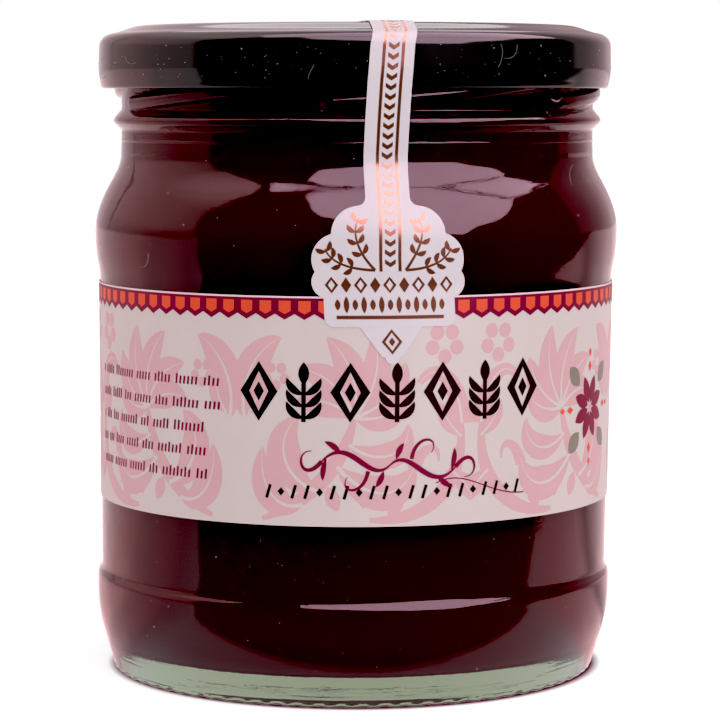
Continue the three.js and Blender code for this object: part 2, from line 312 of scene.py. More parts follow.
def foot_outline(outline):
    """Goes from the middle of the domed base over the foot to the label panel."""
    ring_in = FOOT_R - FOOT_RING
    outline.curve((ring_in * DOME_FULLNESS, PUSH_UP), (ring_in, 0), steps=7)
    outline.line(FOOT_R, 0, steps=3)
    outline.curve((FOOT_R + FOOT_ROUND * 0.75, 0), (FOOT_R + FOOT_ROUND, FLANK_LOW_Z), steps=6)
    outline.line(FLANK_HIGH_R, FLANK_HIGH_Z, steps=33)
    outline.curve(*HEEL_RISE, (HEEL_R, HEEL_Z - HEEL_FLAT), steps=12)
    outline.line(HEEL_R, HEEL_Z)
    outline.curve(*HEEL_STEP, (PANEL_LOW_R, PANEL_LOW_Z), steps=16)
    return outline


def finish_outline(outline):
    """Goes on up the neck over the mould seam and the sharp ring to the rim and the bore."""
    outline.line(NECK_R, SEAM_Z - SEAM_HALF)
    outline.curve((NECK_R + SEAM_HEIGHT * 2, SEAM_Z), (NECK_R, SEAM_Z + SEAM_HALF), steps=4)
    outline.line(NECK_R, BEAD_LOW_Z - BEAD_FOOT)
    outline.curve((NECK_R, BEAD_LOW_Z), (NECK_R + 0.12, BEAD_LOW_Z + 0.15), steps=4)
    outline.line(*BEAD_NOSE[0])
    outline.curve(*BEAD_NOSE[1:], steps=8)
    outline.line(NECK_R + 0.1, BEAD_TOP_Z, steps=2)
    outline.curve((NECK_R, BEAD_TOP_Z + 0.1), (NECK_R, BEAD_TOP_Z + 0.25), steps=4)
    outline.line(NECK_R, RIDGE_TOP_Z, steps=36)
    outline.line(NECK_R, RIM_Z - RIM_ROUND)
    outline.curve((NECK_R, RIM_Z), (NECK_R - RIM_ROUND, RIM_Z), steps=6)
    outline.line(BORE_R + BORE_ROUND, RIM_Z)
    outline.curve((BORE_R, RIM_Z), (BORE_R, RIM_Z - BORE_ROUND), steps=4)
    return outline


def hollow_outline(outline, reach=0.0):
    """Goes on down the inside of the jar to the middle of its floor, grown by a reach."""
    outline.line(BORE_R + reach, NECK_Z)
    flare = Vector((FLARE_R - WALL + reach, FLARE_Z - FLARE_DROP))
    shoulder = Vector((SHOULDER_R - WALL + reach, SHOULDER_Z - SHOULDER_DROP))
    outline.curve((BORE_R + reach, flare.y + FLARE_BEND), flare, steps=4)
    outline.curve((shoulder.x, shoulder.y + SHOULDER_BEND), shoulder, steps=6)
    outline.line(PANEL_HIGH_R - WALL + reach, PANEL_HIGH_Z - PANEL_DROP)
    low_r = PANEL_LOW_R - WALL + reach
    outline.line(low_r, FLOOR_Z + FLOOR_ROUND - reach)
    floor = FLOOR_Z - reach
    outline.curve((low_r, floor), (low_r - FLOOR_ROUND, floor), steps=9)
    middle = PUSH_UP + BASE_GLASS - reach
    outline.curve(((low_r - FLOOR_ROUND) * FLOOR_FULLNESS, middle), (0, middle), steps=4)
    return outline


def ridge_height(angle, z):
    """How far the screw ridges stand out of the neck at an angle and a height."""
    total = 0.0
    for i in range(RIDGES):
        turn = (angle - RIDGE_START - i * 360 / RIDGES) % 360
        if turn > 180:
            turn -= 360
        run = min(max(turn, 0), RIDGE_SWEEP)
        centre = RIDGE_LOW_Z + RIDGE_LEAD * run + RIDGE_STEEPENING * run * run
        past_end = math.radians(turn - run) * NECK_R
        away = math.hypot(z - centre, past_end) / RIDGE_HALF_HEIGHT
        if away < 1:
            swell = math.sqrt(1 - away * away) * smooth_step((1 - away) * 4)
            total = max(total, RIDGE_DEPTH * swell)
    return total


def knurl_lift(angle, r):
    """How far the foot's edge is lifted between two knurls, which are worn to different heights."""
    wave = 0.5 - 0.5 * math.cos(math.radians(angle) * KNURLS)
    share = smooth_step(1 - abs(r - FOOT_R) / KNURL_BAND)
    wear = 0.75 + KNURL_WEAR * noise.noise(Vector((math.radians(angle) * 9, 0, 4)))
    return KNURL_LIFT * wear * wave * share


def crease_depth(angle, z):
    """How deep the foot's cold wrinkles lie at an angle and a height; they wander and come and go."""
    way = Vector((math.sin(math.radians(angle)), math.cos(math.radians(angle)), 0))
    total = 0.0
    for i, (height, depth, half) in enumerate(CREASES):
        apart = Vector((0, 0, 10 * i))
        wander = 0.35 * noise.noise(way * 1.7 + apart) + 0.1 * noise.noise(way * 9 + apart)
        strength = smooth_step(0.55 + 1.5 * noise.noise(way * 4 + apart))
        total += depth * strength * math.exp(-(((z - height - wander) / half) ** 2))
    return total


def widen(vert, r, by):
    """Moves a point at a radius out from the jar's middle line."""
    vert.co.x *= (r + by) / r
    vert.co.y *= (r + by) / r


def jar_shape():
    """The whole glass as one turned shell, with its screw ridges, cold wrinkles and knurls."""
    outline = Outline(0, PUSH_UP)
    foot_outline(outline)
    body_outline(outline)
    finish_outline(outline)
    hollow_outline(outline)
    bm = turned(outline)
    for vert in bm.verts:
        z = vert.co.z
        r = math.hypot(vert.co.x, vert.co.y)
        angle = math.degrees(math.atan2(vert.co.x, -vert.co.y))
        if r > NECK_R - 0.01 and BEAD_TOP_Z + 0.3 < z < RIDGE_TOP_Z:
            widen(vert, r, ridge_height(angle, z))
        if FLANK_LOW_Z < z < FLANK_HIGH_Z and r > FOOT_R:
            widen(vert, r, -crease_depth(angle, z))
        if z < FLANK_LOW_Z and r > FOOT_R - FOOT_RING:
            vert.co.z += knurl_lift(angle, r)
    return bm


def soup_shape():
    """The soup, grown a little into the glass."""
    outline = Outline(0, SOUP_Z).line(BORE_R + SOUP_REACH, SOUP_Z)
    hollow_outline(outline, SOUP_REACH)
    return turned(outline)


# ---------------------------------------------------------------- lid


def lid_face(outline, gap):
    """The lid's face, moved out by a gap, from the middle of its top to the bottom of its wall."""
    top = LID_TOP_Z + gap
    crown_z = top - CROWN_DROP
    ring_z = RING_Z + gap
    outline.curve((CROWN_R * DOME_FULLNESS, top), (CROWN_R, crown_z), steps=6)
    before_ring = (RING_R - 2.0, ring_z + 0.35)
    outline.curve((CROWN_R + 1.8, crown_z), before_ring, (RING_R, ring_z), steps=12)
    wall = LID_R + gap
    wall_top = wall - LID_WALL_LEAN
    past_ring = (RING_R + 1.1, ring_z - 0.2)
    outline.curve(past_ring, (wall_top, RING_Z - 0.9), (wall_top, LID_SHOULDER_Z), steps=12)
    outline.line(wall, LID_TUCK_Z, steps=2)
    outline.curve((wall - 0.05, HEM_Z + 2), (HEM_R + gap, HEM_Z + HEM_ROUND), steps=6)
    return outline


def lid_shape():
    """The lid's sheet: its outer face, the curl of its hem, and its inner face."""
    outer = lid_face(Outline(0, LID_TOP_Z - LID_DISH), 0)
    hem_in = HEM_R - HEM_CURL
    outer.curve((HEM_R, HEM_Z), (HEM_R - HEM_CURL / 2, HEM_Z), steps=5)
    outer.curve((hem_in, HEM_Z), (hem_in, HEM_Z + HEM_ROUND), steps=5)
    outer.line(HEM_R - LID_SHEET, HEM_Z + HEM_INSIDE)
    inner = lid_face(Outline(0, LID_TOP_Z - LID_DISH - LID_SHEET), -LID_SHEET)
    outer.points += inner.points[-2::-1]
    return turned(outer)


# ---------------------------------------------------------------- label


def panel_r(z):
    """The glass's radius on the straight panel that carries the label."""
    share = (z - PANEL_LOW_Z) / (PANEL_HIGH_Z - PANEL_LOW_Z)
    return PANEL_LOW_R + share * (PANEL_HIGH_R - PANEL_LOW_R)


def label_shape():
    """Paper round the panel, open at the back by a narrow slit."""
    bm = bmesh.new()
    slit = LABEL_SLIT / panel_r(LABEL_LOW_Z)
    inner = [(PAPER_GAP, LABEL_LOW_Z), (PAPER_GAP, LABEL_HIGH_Z)]
    outer = [(LABEL_FACE, LABEL_HIGH_Z), (LABEL_FACE, LABEL_LOW_Z)]
    section = bm.faces.new([bm.verts.new((0, panel_r(z) + gap, z)) for gap, z in inner + outer])
    bmesh.ops.rotate(bm, verts=bm.verts, cent=(0, 0, 0), matrix=Matrix.Rotation(slit / 2, 3, "Z"))
    bmesh.ops.spin(
        bm,
        geom=[section] + list(section.verts) + list(section.edges),
        axis=(0, 0, 1),
        cent=(0, 0, 0),
        angle=math.tau - slit,
        steps=TURN_STEPS,
    )
    bmesh.ops.remove_doubles(bm, verts=bm.verts, dist=0.001)
    bmesh.ops.recalc_face_normals(bm, faces=bm.faces)
    return bm


# ---------------------------------------------------------------- flat shapes on curved faces

# how far the layers of print lie over the paper
GROUND_LIFT = 0.02
VEIN_LIFT = 0.035
BAND_LIFT = 0.04
MOTIF_LIFT = 0.05
FLAG_LIFT = 0.06
INK = 0.015  # thickness


class Course:
    """A course of (radius, height) points, known by the distance along it."""

    def __init__(self, points):
        self.points = points
        self.lengths = [0.0]
        for a, b in zip(points, points[1:]):
            self.lengths.append(self.lengths[-1] + max((b - a).length, 1e-6))

    def at(self, way):
        """The point at a distance along the course."""
        i = min(max(bisect.bisect(self.lengths, way) - 1, 0), len(self.points) - 2)
        share = (way - self.lengths[i]) / (self.lengths[i + 1] - self.lengths[i])
        return self.points[i].lerp(self.points[i + 1], share)

    def outward(self, way):
        """The direction out of the face at a distance along the course."""
        run = (self.at(way + 0.15) - self.at(way - 0.15)).normalized()
        return Vector((run.y, -run.x))

    def way(self, z):
        """How far along the course it first rises to a height."""
        i = next(i for i, point in enumerate(self.points) if point.y >= z)
        if i == 0:
            return 0.0
        a, b = self.points[i - 1], self.points[i]
        return self.lengths[i - 1] + (z - a.y) / (b.y - a.y) * (self.lengths[i] - self.lengths[i - 1])


def wrapped(across, r, z, turn=0.0):
    """A point at a distance round a turned face, from its front or from an angle in degrees."""
    a = across / r + math.radians(turn)
    return Vector((r * math.sin(a), -r * math.cos(a), z))


def on_label(across, z, lift):
    return wrapped(across, panel_r(z) + LABEL_FACE + lift, z)


def glass_course():
    """The outside of the glass from the foot to the neck."""
    outline = Outline(FOOT_R + FOOT_ROUND, FLANK_LOW_Z)
    outline.line(FLANK_HIGH_R, FLANK_HIGH_Z)
    outline.curve(*HEEL_RISE, (HEEL_R, HEEL_Z - HEEL_FLAT), steps=12)
    outline.line(PANEL_LOW_R, PANEL_LOW_Z)
    return Course(body_outline(outline).points)


GLASS = glass_course()


def on_glass(across, z, lift):
    return wrapped(across, GLASS.at(GLASS.way(z)).x + lift, z)


def on_lid_wall(across, z, lift):
    return wrapped(across, LID_R + lift, z) + Vector((LID_ASIDE, 0, 0))


def seal_course():
    """The paper's outer face from the pointer's tip up to the lid and over it."""
    points = [Vector((panel_r(z) + LABEL_FACE, z)) for z in (POINTER_LOW_Z - 1, LABEL_HIGH_Z)]
    body = body_outline(Outline(PANEL_LOW_R, PANEL_LOW_Z)).points
    for point in body:
        if LABEL_HIGH_Z < point.y < NECK_Z:
            gap = LABEL_FACE * (1 - smooth_step((point.y - LABEL_HIGH_Z) / LABEL_EDGE_FALL))
            points.append(point + Vector((gap, 0)))
    points.append(Vector((NECK_R + NECK_SWELL, TOUCH_Z)))
    lid = lid_face(Outline(0, LID_TOP_Z), SEAL_LID_GAP).points
    points += [point for point in reversed(lid) if point.x > STRIP_END_R]
    gap = SEAL_GAP + PAPER
    made = Course(points)
    return Course([made.at(way) + made.outward(way) * gap for way in made.lengths])


SEAL = seal_course()


def seal_angle(z):
    """The angle from the front of the seal's middle at a height."""
    for (low_z, low_angle), (high_z, high_angle) in zip(SEAL_WAY, SEAL_WAY[1:]):
        if z < high_z:
            share = max((z - low_z) / (high_z - low_z), 0)
            return low_angle + share * (high_angle - low_angle)
    return SEAL_WAY[-1][1]


def on_seal(across, way, lift):
    point = SEAL.at(way) + SEAL.outward(way) * lift
    return wrapped(across, point.x, point.y, seal_angle(point.y))


def on_badge(across, z, lift):
    return on_seal(across, SEAL.way(z), lift)


class Print:
    """Flat shapes of one ink, wrapped on a face that takes across, along and a lift."""

    def __init__(self, face, lift=GROUND_LIFT):
        self.bm = bmesh.new()
        self.face = face
        self.lift = lift

    def sheet(self, columns, rows, spot):
        """A grid; spot gives a place for a share 0 to 1 along it and a side -1 to 1."""
        grid = bmesh.ops.create_grid(self.bm, x_segments=columns, y_segments=rows, size=1)
        for vert in grid["verts"]:
            across, along = spot((vert.co.x + 1) / 2, vert.co.y)
            vert.co = self.face(across, along, self.lift)

    def stroke(self, controls, half, columns=10, rows=2):
        """A stroke along a Bezier curve; half gives its half width for a share 0 to 1."""
        controls = [Vector(c) for c in controls]

        def spot(share, side):
            ahead = bezier(controls, share + 0.005)
            run = (ahead - bezier(controls, share - 0.005)).normalized()
            return bezier(controls, share) + Vector((-run.y, run.x)) * half(share) * side

        self.sheet(columns, rows, spot)

    def upright(self, x, z, tall, half, columns=2, rows=2):
        """A stroke straight up, as far above as below its middle."""
        self.stroke(((x, z - tall), (x, z + tall)), half, columns, rows)

    def open_lozenge(self, x, z, wide, tall, half, columns=8):
        """The outline of a lozenge."""

        def spot(share, side):
            corner, rest = divmod(share * 4, 1)
            a, b = math.tau * corner / 4, math.tau * (corner + 1) / 4
            out_x = math.sin(a) * (1 - rest) + math.sin(b) * rest
            out_z = math.cos(a) * (1 - rest) + math.cos(b) * rest
            return x + (wide + side * half) * out_x, z + (tall + side * half) * out_z

        self.sheet(columns, 1, spot)

    def chevron(self, x, z, wide, rise, half):
        """A mark like a V."""

        def spot(share, side):
            return x + (2 * share - 1) * wide, z + abs(2 * share - 1) * rise + side * half

        self.sheet(2, 1, spot)

    def finish(self, name, finish, thickness=INK, **more):
        """Gives the ink its thickness and hands it over as a piece."""
        self.bm.normal_update()
        bmesh.ops.solidify(self.bm, geom=self.bm.faces[:], thickness=thickness)
        bmesh.ops.recalc_face_normals(self.bm, faces=self.bm.faces)
        return make_piece(self.bm, name, finish, sharp=30, **more)


# Shapes of a stroke: each gives the half width for a share 0 to 1 along it.


def even(half):
    return lambda share: half


def leaf(half):
    return lambda share: half * math.sin(math.pi * min(max(share, 0), 1)) ** 0.8 + 0.01


def tapered(half, tip=0.15):
    return lambda share: half * (tip + (1 - tip) * (1 - share))


def swelling(half, ends=0.3):
    return lambda share: half * (ends + (1 - ends) * math.sin(math.pi * min(max(share, 0), 1)))


def dot(half):
    return lambda share: half * math.sqrt(max(1 - (2 * share - 1) ** 2, 0)) + 0.005


def lozenge(half):
    return lambda share: half * (1 - abs(2 * share - 1)) + 0.005


def pennant(half):
    """Straight down from its top, then to a blunt point."""
    return lambda share: half * min(1, (1 - share) / 0.25) + 0.005


# ---------------------------------------------------------------- the label's print

PENNANTS = 84
BORDER_TOP = 0.3  # below the label's top edge
BORDER_NOTCH = 2.75
BORDER_TIP = 3.65
PENNANT_TOP = 0.7
PENNANT_TIP = 2.8
PENNANT_HALF = 0.97
EDGE_LINE_DROP = 0.16
EDGE_LINE_HALF = 0.13
FOLIAGE_TILES = 7
FOLIAGE_FULL = 1.22
FAN_Z = 46.5  # where the leaves of the fan meet
FAN = ((-80, 9.5), (-50, 11.5), (-20, 13.0), (12, 13.2), (44, 11.5), (74, 8.5))  # turn, length
BUDS = ((-2.5, 32.6, -0.5), (1.5, 33.0, 0.1), (5.4, 31.9, 0.8))  # across, height, turn in radians
BUD_LENGTH = 3.2


def label_span():
    return math.tau * panel_r(LABEL_HIGH_Z) - LABEL_SLIT


def row(count, pitch, middle=0.0):
    """The number and the place of each of a row of marks."""
    return [(i, middle + pitch * (i - (count - 1) / 2)) for i in range(count)]


def border_print():
    """A band with a zigzag lower edge, and its pennants."""
    band, flags, edge = [Print(on_label, lift) for lift in (BAND_LIFT, FLAG_LIFT, BAND_LIFT)]
    span = label_span() - 0.1

    def zigzag(share, side):
        phase = abs(share * PENNANTS * 2 % 2 - 1)
        low_z = LABEL_HIGH_Z - BORDER_TIP + phase * (BORDER_TIP - BORDER_NOTCH)
        high_z = LABEL_HIGH_Z - BORDER_TOP
        return (share - 0.5) * span, low_z + (side + 1) / 2 * (high_z - low_z)

    band.sheet(PENNANTS * 4, 1, zigzag)
    edge_z = LABEL_HIGH_Z - EDGE_LINE_DROP
    edge_line = ((-span / 2, edge_z), (span / 2, edge_z))
    edge.stroke(edge_line, even(EDGE_LINE_HALF), PENNANTS * 2, 1)
    top, tip = LABEL_HIGH_Z - PENNANT_TOP, LABEL_HIGH_Z - PENNANT_TIP
    for _, x in row(PENNANTS, span / PENNANTS):
        flags.stroke(((x, top), (x, tip)), pennant(PENNANT_HALF), columns=4)
    return band, flags, edge


def blossom(ink, x, z, r, petals=5):
    for i in range(petals):
        a = math.tau * (i + 0.5) / petals
        px, pz = x + r * math.sin(a), z + r * math.cos(a)
        ink.stroke(((px - 0.55 * r, pz), (px + 0.55 * r, pz)), dot(0.55 * r), columns=8)


def foliage_print():
    """Broad leaves and scrolls that repeat round the label, every other tile mirrored."""
    ink, veins = Print(on_label), Print(on_label, VEIN_LIFT)
    width = label_span() / FOLIAGE_TILES
    for tile, middle in row(FOLIAGE_TILES, width):
        way = 1 if tile % 2 else -1

        def draw(controls, half, vein=0.0, columns=14, rows=4):
            placed = [(middle + way * x, z) for x, z in controls]
            ink.stroke(placed, lambda share: FOLIAGE_FULL * half(share), columns, rows)
            if vein:
                veins.stroke(placed, tapered(vein, 0.1), columns, 1)

        # a fan of leaves on a curved stem
        for turn, length in FAN:
            a = math.radians(turn)
            tip = (length * math.sin(a), FAN_Z + length * math.cos(a))
            bend = (length * 0.6 * math.sin(a + 0.5), FAN_Z + length * 0.6 * math.cos(a + 0.5))
            draw(((0, FAN_Z - 0.3), bend, tip), leaf(1.9), 0.28)
        draw(((-14.5, 30.2), (-6, 33), (-1, 40), (0, FAN_Z)), swelling(1.0))
        # broad curled leaves along the stem
        draw(((-8, 32.6), (-12, 31), (-15.5, 35.5), (-14.5, 41.5)), leaf(2.0), 0.3)
        draw(((-5.5, 34.6), (-11.5, 36.5), (-13, 43), (-8.5, 46.5)), leaf(2.3), 0.35)
        draw(((-2.6, 38.6), (2, 33), (8, 33), (9.5, 38.8)), leaf(2.3), 0.35)
        draw(((-0.8, 42), (3.5, 38.5), (9, 40), (8.4, 45.2)), leaf(1.7), 0.28)
        draw(((9.4, 38), (10.6, 42), (13.6, 42.4), (13.4, 39.2)), tapered(0.9))
        # a long scroll up the far side, with a blossom and small leaves
        draw(((2.5, 30.2), (11, 29.6), (18.5, 35), (17, 46)), swelling(1.0))
        draw(((17.2, 45), (16.8, 52), (12.6, 55.5), (10.2, 51.5)), tapered(1.5, 0.3), 0.25)
        draw(((15.8, 37.5), (18.4, 35.5), (19.2, 32.8)), leaf(1.2), 0.2)
        draw(((17.2, 43.0), (14.4, 45.4), (13.6, 48.4)), leaf(1.1), 0.2)
        draw(((-17.5, 45.5), (-19, 51), (-15.6, 57), (-11.5, 58.6)), leaf(2.1), 0.3)
        draw(((-17.0, 46.5), (-14.6, 49.5), (-15.4, 52.5)), leaf(1.3), 0.2)
        blossom(ink, middle + way * 14.2, 57.6, 2.1)
        blossom(ink, middle + way * -12.4, 52.6, 1.5)
        # buds on the lower edge
        for x, z, turn in BUDS:
            tip = (x + BUD_LENGTH * math.sin(turn), z + BUD_LENGTH * math.cos(turn))
            draw(((x, z - 1), tip), leaf(0.95), columns=8, rows=2)
    return ink, veins


def wheat_ear(ink, x, z, tall):
    """An upright ear: a stem, a top grain and three pairs of grains."""
    ink.stroke(((x, z - tall / 2), (x, z + tall * 0.3)), even(0.36), columns=2)
    ink.stroke(((x, z + tall * 0.12), (x, z + tall / 2)), leaf(0.85), columns=8)
    for step in range(3):
        low_z = z - tall * (0.44 - 0.2 * step)
        for side in (-1, 1):
            tip = (x + side * 2.75, low_z + 2.6)
            ink.stroke(((x, low_z), (x + side * 2.2, low_z + 0.5), tip), leaf(0.6), columns=8)


MOTIFS = 7
MOTIF_PITCH = 7.28
MOTIF_MIDDLE = 6.64
MOTIF_Z = 50.15
MOTIF_TALL = 9.3
MARKS = 21
MARK_PITCH = 2.05
MARK_MIDDLE = 7.0
MARK_Z = 34.55


def black_print():
    """A row of lozenges and ears, and a row of small marks under it."""
    ink = Print(on_label, MOTIF_LIFT)
    for i, x in row(MOTIFS, MOTIF_PITCH, MOTIF_MIDDLE):
        if i % 2:
            wheat_ear(ink, x, MOTIF_Z, MOTIF_TALL)
        else:
            ink.open_lozenge(x, MOTIF_Z, 2.35, 3.9, 0.75, columns=24)
            ink.upright(x, MOTIF_Z, 1.5, lozenge(0.85))
    for i, x in row(MARKS, MARK_PITCH, MARK_MIDDLE):
        if i % 3 == 1:
            ink.upright(x, MARK_Z, 0.65, lozenge(0.55))
        else:
            slant = ((x - 0.3, MARK_Z - 1.05), (x + 0.3, MARK_Z + 1.05))
            ink.stroke(slant, even(0.24), columns=2, rows=1)
    return ink


FLOURISH_X = 5.6
FLOURISH_Z = 38.8
# the flourish's right half: controls from its middle, the shape of the stroke, and its steps
FLOURISH = (
    (((0, 0), (3.4, 3.4), (6.2, -5.4), (10.6, -0.6)), swelling(0.42), 22),
    (((10.6, -0.6), (13.9, 3.4), (15.2, -2.4), (12.2, -2.2)), tapered(0.36), 16),
    (((3.4, 0.9), (4.0, 5.0), (8.2, 4.4), (6.6, 1.8)), tapered(0.33), 16),
    (((1.0, 0.9), (1.3, 2.4), (2.2, 3.4)), leaf(0.45), 10),
    (((7.6, -1.7), (8.6, -3.2), (10.2, -3.7)), leaf(0.45), 10),
    (((9.9, -1.1), (10.6, 0.9), (10.4, 2.4)), leaf(0.42), 10),
)
HAIRLINE = ((13, 35.8), (18, 38.2), (22, 33.2), (29, 33.4))
SMALL_PRINT_SEED = 4
SMALL_PRINT_TOP = 51.2
SMALL_PRINT_RIGHTS = (-22.4, -22.2, -25.3, -24.9, -24.6)  # where each row begins, on the right
SMALL_PRINT_LEFT = -55
SMALL_PRINT_ROW = 3.7
SMALL_PRINT_PITCH = 0.82
SMALL_PRINT_GAP = 0.9
SMALL_PRINT_GROUP = (3, 8)  # fewest and most strokes between two gaps
SMALL_PRINT_TALL = (0.62, 0.62, 0.95)


def small_print(ink):
    """Rows of small strokes in groups, from right to left."""
    draw = random.Random(SMALL_PRINT_SEED)
    for i, x in enumerate(SMALL_PRINT_RIGHTS):
        z = SMALL_PRINT_TOP - SMALL_PRINT_ROW * i
        left = draw.randint(*SMALL_PRINT_GROUP)
        while x > SMALL_PRINT_LEFT:
            top = z + draw.choice(SMALL_PRINT_TALL)
            slant = ((x - 0.08, z - SMALL_PRINT_TALL[0]), (x + 0.08, top))
            ink.stroke(slant, even(0.19), columns=2, rows=1)
            x -= SMALL_PRINT_PITCH
            left -= 1
            if left == 0:
                x -= SMALL_PRINT_GAP
                left = draw.randint(*SMALL_PRINT_GROUP)


def crimson_print():
    """A flourish in the middle, the same turned half round, and small print on the left."""
    ink = Print(on_label, MOTIF_LIFT)
    for way in (-1, 1):
        for controls, half, columns in FLOURISH:
            placed = [(FLOURISH_X + way * x, FLOURISH_Z + way * z) for x, z in controls]
            ink.stroke(placed, half, columns)
    ink.stroke(HAIRLINE, even(0.09), columns=24)
    small_print(ink)
    return ink


ROSETTE_X = 47.0
ROSETTE_Z = 45.4
# from and to, out of the rosette's middle
ROSETTE_PETALS = (0.8, 5.4)
ROSETTE_LEAVES = (5.4, 9.8)
ROSETTE_MARKS = (5.8, 7.6)
ROSETTE_OUTER_MARKS = (8.2, 9.6)


def rosette_print():
    """A rosette: marks on its four sides, leaves at its corners, and eight petals."""
    marks, leaves, petals = [Print(on_label, MOTIF_LIFT) for _ in range(3)]

    def ray(turn, ends):
        a = math.radians(turn)
        return [(ROSETTE_X + r * math.sin(a), ROSETTE_Z + r * math.cos(a)) for r in ends]

    for i in range(8):
        petals.stroke(ray(45 * i + 22.5, ROSETTE_PETALS), leaf(1.1))
    for i in range(4):
        leaves.stroke(ray(90 * i + 45, ROSETTE_LEAVES), leaf(1.4))
        marks.stroke(ray(90 * i, ROSETTE_MARKS), lozenge(0.6), columns=2)
        marks.stroke(ray(90 * i, ROSETTE_OUTER_MARKS), lozenge(0.5), columns=2)
    return marks, leaves, petals


# ---------------------------------------------------------------- seal


def seal_half(z):
    """Half the seal's width at a height."""
    if z < BADGE_LOW_Z:
        slope = (POINTER_HALF - POINTER_ROUND) / (BADGE_LOW_Z - POINTER_LOW_Z - POINTER_ROUND * 0.4)
        side = POINTER_HALF - (BADGE_LOW_Z - z) * slope
        up = max(z - POINTER_LOW_Z, 0)
        if up < POINTER_ROUND:
            side = min(side, math.sqrt(2 * POINTER_ROUND * up - up * up))
        return side
    half = STRIP_HALF
    if z < BADGE_HIGH_Z:
        up = max(BADGE_CORNER - (z - BADGE_LOW_Z), 0)
        half = BADGE_HALF - BADGE_CORNER + math.sqrt(BADGE_CORNER**2 - up**2)
    for across, middle, r in LOBES:
        if abs(z - middle) < r:
            half = max(half, across + math.sqrt(r * r - (z - middle) ** 2))
    if FILLET_Z - FILLET < z < FILLET_Z:
        half = max(half, STRIP_HALF + FILLET - math.sqrt(FILLET**2 - (z - FILLET_Z) ** 2))
    return half


def seal_shape():
    """Paper cut to the seal's outline, following its course."""
    fine_end = SEAL.way(SEAL_FINE_Z)
    start, end = SEAL.way(POINTER_LOW_Z), SEAL.lengths[-1]
    corner = SEAL.way(BADGE_LOW_Z)
    ways = {start + (fine_end - start) * i / SEAL_FINE_STEPS for i in range(SEAL_FINE_STEPS)}
    ways |= {fine_end + (end - fine_end) * i / SEAL_STEPS for i in range(SEAL_STEPS + 1)}
    ways |= {corner - CORNER_WIDTH, corner + CORNER_WIDTH}
    ways = sorted(ways)
    sheet = Print(on_seal, 0)

    def spot(share, side):
        way = ways[round((side + 1) / 2 * (len(ways) - 1))]
        return (2 * share - 1) * seal_half(SEAL.at(way).y), way

    sheet.sheet(SEAL_COLUMNS, len(ways) - 1, spot)
    return sheet


FOIL_LINES = (-1.3, 1.66)
FOIL_LINE_HALF = 0.24
FOIL_LOW_Z = 68.9
CHEVRON_PITCH = 1.57
CHEVRON_X = 0.18
SPRAY_Z = 69.1  # foot of the leaf sprays
SPRAYS = (
    ((4.2, 71.2), (6.2, 74.6), (4.6, 77.0)),
    ((6.0, 69.2), (9.0, 70.2), (9.9, 72.4)),
)
SPRAY_LEAVES = 4
LOZENGES = 9
LOZENGE_PITCH = 2.25
LOZENGE_Z = 66.8
BLADES = 13
BLADE_PITCH = 1.36
BLADE_Z = 63.75
BASE_LINE = ((-8.4, 61.8), (8.4, 61.8))
POINTER_MARK_Z = 58.0


def spray(ink, curve):
    """A stem with pairs of small leaves."""
    ink.stroke(curve, tapered(0.22, 0.5), columns=16)
    controls = [Vector(c) for c in curve]
    for i in range(SPRAY_LEAVES):
        share = 0.34 + 0.2 * i
        root = bezier(controls, share)
        run = (bezier(controls, share + 0.02) - root).normalized()
        for hand in (-1, 1):
            out = Vector((-run.y, run.x)) * hand
            tip = root + out * 1.25 + run * 1.15
            ink.stroke((root, root + out * 1.0 + run * 0.2, tip), leaf(0.38), columns=8)


def strip_print():
    """Two lines and chevrons down the strip."""
    strip = Print(on_seal)
    low_way, high_way = SEAL.way(FOIL_LOW_Z), SEAL.lengths[-1] - 0.6
    for x in FOIL_LINES:
        strip.stroke(((x, low_way), (x, high_way)), even(FOIL_LINE_HALF), columns=180, rows=1)
    way = low_way + 1.0
    while way < high_way - 1:
        strip.chevron(CHEVRON_X, way, 0.82, 0.55, 0.34)
        way += CHEVRON_PITCH
    return strip


def badge_print():
    """Leaf sprays, rows of lozenges and blades, a line, and a mark in the badge's point."""
    badge = Print(on_badge)
    for side, foot in ((-1, FOIL_LINES[0] - 0.9), (1, FOIL_LINES[1] + 0.9)):
        for controls in SPRAYS:
            spray(badge, [(foot, SPRAY_Z)] + [(side * x, z) for x, z in controls])
    for i, x in row(LOZENGES, LOZENGE_PITCH):
        if i % 2:
            badge.upright(x, LOZENGE_Z, 1.2, lozenge(0.8))
        else:
            badge.open_lozenge(x, LOZENGE_Z, 0.8, 1.05, 0.24)
    for i, x in row(BLADES, BLADE_PITCH):
        badge.upright(x, BLADE_Z, 1.3 if i % 2 else 0.85, leaf(0.42), columns=8)
    badge.stroke(BASE_LINE, even(0.27), columns=24, rows=1)
    badge.open_lozenge(0, POINTER_MARK_Z, 1.35, 1.7, 0.27)
    badge.upright(0, POINTER_MARK_Z, 0.7, lozenge(0.5))
    return badge


# ---------------------------------------------------------------- dust and lint

LID_WALL_Z = (HEM_Z + 1.5, LID_SHOULDER_Z)
UPPER_GLASS_Z = (66.5, 87.5)
# where specks lie: the face, its lowest and highest, and how many
DUSTY = (
    (on_glass, UPPER_GLASS_Z, 260),
    (on_glass, (17.0, 28.5), 190),
    (on_glass, (3.0, 16.0), 170),
    (on_lid_wall, LID_WALL_Z, 260),
)
DUST_SEED = 11
DUST_WIDE = 130  # how far to both sides, along the face
LINT_WIDE = 100
FIBRES = 7
FIBRE_STEP = 1.5
FIBRE_HALF = 0.009


